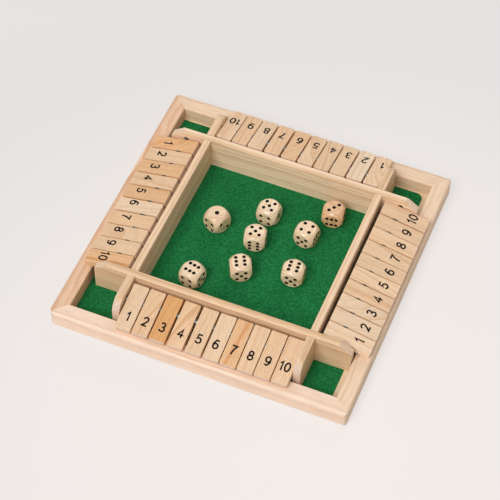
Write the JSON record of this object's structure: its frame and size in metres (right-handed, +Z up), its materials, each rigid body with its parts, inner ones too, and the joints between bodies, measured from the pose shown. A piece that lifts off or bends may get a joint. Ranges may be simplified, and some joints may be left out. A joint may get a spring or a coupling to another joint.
{
  "type": "shut the box game",
  "caption": "Square wooden board game with a felt-lined dice tray in the middle, a row of hinged number tiles along each side and loose wooden dice.",
  "frame": {"origin": "middle of the board at the surface that it lies on", "axes": "+X to the right along the front row, +Y to the back, +Z up"},
  "size_m": [0.22, 0.22, 0.0286],
  "materials": {
    "frame_wood": "satin, lightly sanded pine",
    "wall_wood": "satin, lightly sanded pine",
    "tile_wood": "satin, lightly sanded pine with painted numbers",
    "base_wood": "raw plywood",
    "die_wood": "polished, with black pips",
    "felt": "short green pile",
    "rod_steel": "drawn wire",
    "washer_plastic": "clear to milky"
  },
  "bodies": {
    "board": {"base_panel": "base_wood", "felt": "felt", "front_rail": "frame_wood", "right_rail": "frame_wood", "back_rail": "frame_wood", "left_rail": "frame_wood", "front_wall": "wall_wood", "back_wall": "wall_wood", "side_walls": "wall_wood", "tile_cheeks": "wall_wood", "pivot_rods": "rod_steel", "spacer_washers": "washer_plastic"},
    "tile_front_1": {"tile_front_1": "tile_wood"},
    "tile_front_2": {"tile_front_2": "tile_wood"},
    "tile_front_3": {"tile_front_3": "tile_wood"},
    "tile_front_4": {"tile_front_4": "tile_wood"},
    "tile_front_5": {"tile_front_5": "tile_wood"},
    "tile_front_6": {"tile_front_6": "tile_wood"},
    "tile_front_7": {"tile_front_7": "tile_wood"},
    "tile_front_8": {"tile_front_8": "tile_wood"},
    "tile_front_9": {"tile_front_9": "tile_wood"},
    "tile_front_10": {"tile_front_10": "tile_wood"},
    "tile_right_1": {"tile_right_1": "tile_wood"},
    "tile_right_2": {"tile_right_2": "tile_wood"},
    "tile_right_3": {"tile_right_3": "tile_wood"},
    "tile_right_4": {"tile_right_4": "tile_wood"},
    "tile_right_5": {"tile_right_5": "tile_wood"},
    "tile_right_6": {"tile_right_6": "tile_wood"},
    "tile_right_7": {"tile_right_7": "tile_wood"},
    "tile_right_8": {"tile_right_8": "tile_wood"},
    "tile_right_9": {"tile_right_9": "tile_wood"},
    "tile_right_10": {"tile_right_10": "tile_wood"},
    "tile_back_1": {"tile_back_1": "tile_wood"},
    "tile_back_2": {"tile_back_2": "tile_wood"},
    "tile_back_3": {"tile_back_3": "tile_wood"},
    "tile_back_4": {"tile_back_4": "tile_wood"},
    "tile_back_5": {"tile_back_5": "tile_wood"},
    "tile_back_6": {"tile_back_6": "tile_wood"},
    "tile_back_7": {"tile_back_7": "tile_wood"},
    "tile_back_8": {"tile_back_8": "tile_wood"},
    "tile_back_9": {"tile_back_9": "tile_wood"},
    "tile_back_10": {"tile_back_10": "tile_wood"},
    "tile_left_1": {"tile_left_1": "tile_wood"},
    "tile_left_2": {"tile_left_2": "tile_wood"},
    "tile_left_3": {"tile_left_3": "tile_wood"},
    "tile_left_4": {"tile_left_4": "tile_wood"},
    "tile_left_5": {"tile_left_5": "tile_wood"},
    "tile_left_6": {"tile_left_6": "tile_wood"},
    "tile_left_7": {"tile_left_7": "tile_wood"},
    "tile_left_8": {"tile_left_8": "tile_wood"},
    "tile_left_9": {"tile_left_9": "tile_wood"},
    "tile_left_10": {"tile_left_10": "tile_wood"},
    "die_1": {"die_1": "die_wood"},
    "die_2": {"die_2": "die_wood"},
    "die_3": {"die_3": "die_wood"},
    "die_4": {"die_4": "die_wood"},
    "die_5": {"die_5": "die_wood"},
    "die_6": {"die_6": "die_wood"},
    "die_7": {"die_7": "die_wood"},
    "die_8": {"die_8": "die_wood"}
  },
  "joints": [
    {"name": "tile_front_1_hinge", "type": "hinge", "parent": "board", "child": "tile_front_1", "pos_m": [-0.05509, -0.0838, 0.0213], "axis": [-1, 0, 0], "range_deg": [0, 158.6]},
    {"name": "tile_front_2_hinge", "type": "hinge", "parent": "board", "child": "tile_front_2", "pos_m": [-0.04247, -0.0838, 0.0213], "axis": [-1, 0, 0], "range_deg": [0, 158.6]},
    {"name": "tile_front_3_hinge", "type": "hinge", "parent": "board", "child": "tile_front_3", "pos_m": [-0.02965, -0.0838, 0.0213], "axis": [-1, 0, 0], "range_deg": [0, 158.6]},
    {"name": "tile_front_4_hinge", "type": "hinge", "parent": "board", "child": "tile_front_4", "pos_m": [-0.01643, -0.0838, 0.0213], "axis": [-1, 0, 0], "range_deg": [0, 158.6]},
    {"name": "tile_front_5_hinge", "type": "hinge", "parent": "board", "child": "tile_front_5", "pos_m": [-0.00281, -0.0838, 0.0213], "axis": [-1, 0, 0], "range_deg": [0, 158.6]},
    {"name": "tile_front_6_hinge", "type": "hinge", "parent": "board", "child": "tile_front_6", "pos_m": [0.01021, -0.0838, 0.0213], "axis": [-1, 0, 0], "range_deg": [0, 158.6]},
    {"name": "tile_front_7_hinge", "type": "hinge", "parent": "board", "child": "tile_front_7", "pos_m": [0.02263, -0.0838, 0.0213], "axis": [-1, 0, 0], "range_deg": [0, 158.6]},
    {"name": "tile_front_8_hinge", "type": "hinge", "parent": "board", "child": "tile_front_8", "pos_m": [0.03505, -0.0838, 0.0213], "axis": [-1, 0, 0], "range_deg": [0, 158.6]},
    {"name": "tile_front_9_hinge", "type": "hinge", "parent": "board", "child": "tile_front_9", "pos_m": [0.04747, -0.0838, 0.0213], "axis": [-1, 0, 0], "range_deg": [0, 158.6]},
    {"name": "tile_front_10_hinge", "type": "hinge", "parent": "board", "child": "tile_front_10", "pos_m": [0.05989, -0.0838, 0.0213], "axis": [-1, 0, 0], "range_deg": [0, 158.6]},
    {"name": "tile_right_1_hinge", "type": "hinge", "parent": "board", "child": "tile_right_1", "pos_m": [0.0858, -0.05609, 0.0213], "axis": [0, -1, 0], "range_deg": [0, 158.6]},
    {"name": "tile_right_2_hinge", "type": "hinge", "parent": "board", "child": "tile_right_2", "pos_m": [0.0858, -0.04347, 0.0213], "axis": [0, -1, 0], "range_deg": [0, 158.6]},
    {"name": "tile_right_3_hinge", "type": "hinge", "parent": "board", "child": "tile_right_3", "pos_m": [0.0858, -0.03065, 0.0213], "axis": [0, -1, 0], "range_deg": [0, 158.6]},
    {"name": "tile_right_4_hinge", "type": "hinge", "parent": "board", "child": "tile_right_4", "pos_m": [0.0858, -0.01803, 0.0213], "axis": [0, -1, 0], "range_deg": [0, 158.6]},
    {"name": "tile_right_5_hinge", "type": "hinge", "parent": "board", "child": "tile_right_5", "pos_m": [0.0858, -0.00521, 0.0213], "axis": [0, -1, 0], "range_deg": [0, 158.6]},
    {"name": "tile_right_6_hinge", "type": "hinge", "parent": "board", "child": "tile_right_6", "pos_m": [0.0858, 0.00721, 0.0213], "axis": [0, -1, 0], "range_deg": [0, 158.6]},
    {"name": "tile_right_7_hinge", "type": "hinge", "parent": "board", "child": "tile_right_7", "pos_m": [0.0858, 0.01963, 0.0213], "axis": [0, -1, 0], "range_deg": [0, 158.6]},
    {"name": "tile_right_8_hinge", "type": "hinge", "parent": "board", "child": "tile_right_8", "pos_m": [0.0858, 0.03205, 0.0213], "axis": [0, -1, 0], "range_deg": [0, 158.6]},
    {"name": "tile_right_9_hinge", "type": "hinge", "parent": "board", "child": "tile_right_9", "pos_m": [0.0858, 0.04447, 0.0213], "axis": [0, -1, 0], "range_deg": [0, 158.6]},
    {"name": "tile_right_10_hinge", "type": "hinge", "parent": "board", "child": "tile_right_10", "pos_m": [0.0858, 0.05729, 0.0213], "axis": [0, -1, 0], "range_deg": [0, 158.6]},
    {"name": "tile_back_1_hinge", "type": "hinge", "parent": "board", "child": "tile_back_1", "pos_m": [0.05929, 0.0838, 0.0213], "axis": [1, 0, 0], "range_deg": [0, 158.6]},
    {"name": "tile_back_2_hinge", "type": "hinge", "parent": "board", "child": "tile_back_2", "pos_m": [0.04627, 0.0838, 0.0213], "axis": [1, 0, 0], "range_deg": [0, 158.6]},
    {"name": "tile_back_3_hinge", "type": "hinge", "parent": "board", "child": "tile_back_3", "pos_m": [0.03345, 0.0838, 0.0213], "axis": [1, 0, 0], "range_deg": [0, 158.6]},
    {"name": "tile_back_4_hinge", "type": "hinge", "parent": "board", "child": "tile_back_4", "pos_m": [0.02083, 0.0838, 0.0213], "axis": [1, 0, 0], "range_deg": [0, 158.6]},
    {"name": "tile_back_5_hinge", "type": "hinge", "parent": "board", "child": "tile_back_5", "pos_m": [0.00821, 0.0838, 0.0213], "axis": [1, 0, 0], "range_deg": [0, 158.6]},
    {"name": "tile_back_6_hinge", "type": "hinge", "parent": "board", "child": "tile_back_6", "pos_m": [-0.00461, 0.0838, 0.0213], "axis": [1, 0, 0], "range_deg": [0, 158.6]},
    {"name": "tile_back_7_hinge", "type": "hinge", "parent": "board", "child": "tile_back_7", "pos_m": [-0.01783, 0.0838, 0.0213], "axis": [1, 0, 0], "range_deg": [0, 158.6]},
    {"name": "tile_back_8_hinge", "type": "hinge", "parent": "board", "child": "tile_back_8", "pos_m": [-0.03105, 0.0838, 0.0213], "axis": [1, 0, 0], "range_deg": [0, 158.6]},
    {"name": "tile_back_9_hinge", "type": "hinge", "parent": "board", "child": "tile_back_9", "pos_m": [-0.04347, 0.0838, 0.0213], "axis": [1, 0, 0], "range_deg": [0, 158.6]},
    {"name": "tile_back_10_hinge", "type": "hinge", "parent": "board", "child": "tile_back_10", "pos_m": [-0.05589, 0.0838, 0.0213], "axis": [1, 0, 0], "range_deg": [0, 158.6]},
    {"name": "tile_left_1_hinge", "type": "hinge", "parent": "board", "child": "tile_left_1", "pos_m": [-0.0818, 0.05629, 0.0213], "axis": [0, 1, 0], "range_deg": [0, 158.6]},
    {"name": "tile_left_2_hinge", "type": "hinge", "parent": "board", "child": "tile_left_2", "pos_m": [-0.0818, 0.04367, 0.0213], "axis": [0, 1, 0], "range_deg": [0, 158.6]},
    {"name": "tile_left_3_hinge", "type": "hinge", "parent": "board", "child": "tile_left_3", "pos_m": [-0.0818, 0.03105, 0.0213], "axis": [0, 1, 0], "range_deg": [0, 158.6]},
    {"name": "tile_left_4_hinge", "type": "hinge", "parent": "board", "child": "tile_left_4", "pos_m": [-0.0818, 0.01843, 0.0213], "axis": [0, 1, 0], "range_deg": [0, 158.6]},
    {"name": "tile_left_5_hinge", "type": "hinge", "parent": "board", "child": "tile_left_5", "pos_m": [-0.0818, 0.00561, 0.0213], "axis": [0, 1, 0], "range_deg": [0, 158.6]},
    {"name": "tile_left_6_hinge", "type": "hinge", "parent": "board", "child": "tile_left_6", "pos_m": [-0.0818, -0.00741, 0.0213], "axis": [0, 1, 0], "range_deg": [0, 158.6]},
    {"name": "tile_left_7_hinge", "type": "hinge", "parent": "board", "child": "tile_left_7", "pos_m": [-0.0818, -0.02043, 0.0213], "axis": [0, 1, 0], "range_deg": [0, 158.6]},
    {"name": "tile_left_8_hinge", "type": "hinge", "parent": "board", "child": "tile_left_8", "pos_m": [-0.0818, -0.03305, 0.0213], "axis": [0, 1, 0], "range_deg": [0, 158.6]},
    {"name": "tile_left_9_hinge", "type": "hinge", "parent": "board", "child": "tile_left_9", "pos_m": [-0.0818, -0.04547, 0.0213], "axis": [0, 1, 0], "range_deg": [0, 158.6]},
    {"name": "tile_left_10_hinge", "type": "hinge", "parent": "board", "child": "tile_left_10", "pos_m": [-0.0818, -0.0579, 0.0213], "axis": [0, 1, 0], "range_deg": [0, 158.6]},
    {"name": "die_1_lift", "type": "slide", "parent": "board", "child": "die_1", "axis": [0, 0, 1], "range_m": [0, 0.06]},
    {"name": "die_2_lift", "type": "slide", "parent": "board", "child": "die_2", "axis": [0, 0, 1], "range_m": [0, 0.06]},
    {"name": "die_3_lift", "type": "slide", "parent": "board", "child": "die_3", "axis": [0, 0, 1], "range_m": [0, 0.06]},
    {"name": "die_4_lift", "type": "slide", "parent": "board", "child": "die_4", "axis": [0, 0, 1], "range_m": [0, 0.06]},
    {"name": "die_5_lift", "type": "slide", "parent": "board", "child": "die_5", "axis": [0, 0, 1], "range_m": [0, 0.06]},
    {"name": "die_6_lift", "type": "slide", "parent": "board", "child": "die_6", "axis": [0, 0, 1], "range_m": [0, 0.06]},
    {"name": "die_7_lift", "type": "slide", "parent": "board", "child": "die_7", "axis": [0, 0, 1], "range_m": [0, 0.06]},
    {"name": "die_8_lift", "type": "slide", "parent": "board", "child": "die_8", "axis": [0, 0, 1], "range_m": [0, 0.06]}
  ]
}
